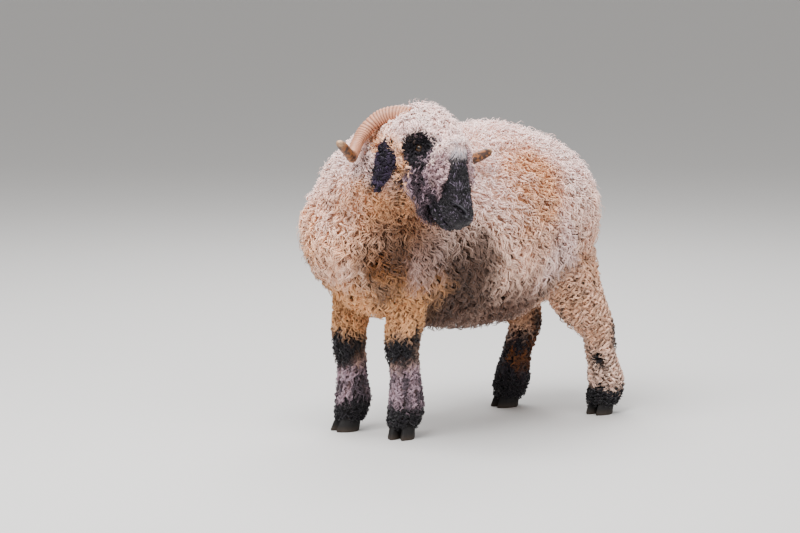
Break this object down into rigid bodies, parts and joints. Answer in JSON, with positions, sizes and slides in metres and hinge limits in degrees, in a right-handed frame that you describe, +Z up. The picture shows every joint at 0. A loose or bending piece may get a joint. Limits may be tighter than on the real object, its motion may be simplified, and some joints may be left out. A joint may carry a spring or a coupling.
{
  "type": "valais blacknose sheep",
  "caption": "Standing horned ewe in long cream wool with a black muzzle, black ears, knees and feet, its head turned to its left.",
  "frame": {"origin": "on the floor, under the middle of the box round the whole animal", "axes": "the body faces -Y, its left side is towards +X, +Z is up; the head is turned towards +X"},
  "size_m": [0.6802, 1.1128, 0.9126],
  "materials": {
    "fleece": "matt curly wool",
    "dark wool": "matt black wool",
    "horn": "ridged horn with a dull sheen",
    "claw horn": "worn dark horn",
    "eye": "wet and clear"
  },
  "bodies": {
    "root": {"ear_left": "dark wool", "ear_right": "dark wool", "eye_left": "eye", "eye_right": "eye", "head": "fleece", "hoof_front_left_inner": "claw horn", "hoof_front_left_outer": "claw horn", "hoof_front_right_inner": "claw horn", "hoof_front_right_outer": "claw horn", "hoof_hind_left_inner": "claw horn", "hoof_hind_left_outer": "claw horn", "hoof_hind_right_inner": "claw horn", "hoof_hind_right_outer": "claw horn", "horn_left": "horn", "horn_right": "horn", "leg_front_left": "fleece", "leg_front_right": "fleece", "leg_hind_left": "fleece", "leg_hind_right": "fleece", "neck": "fleece", "tail": "fleece", "torso": "fleece"}
  },
  "joints": []
}
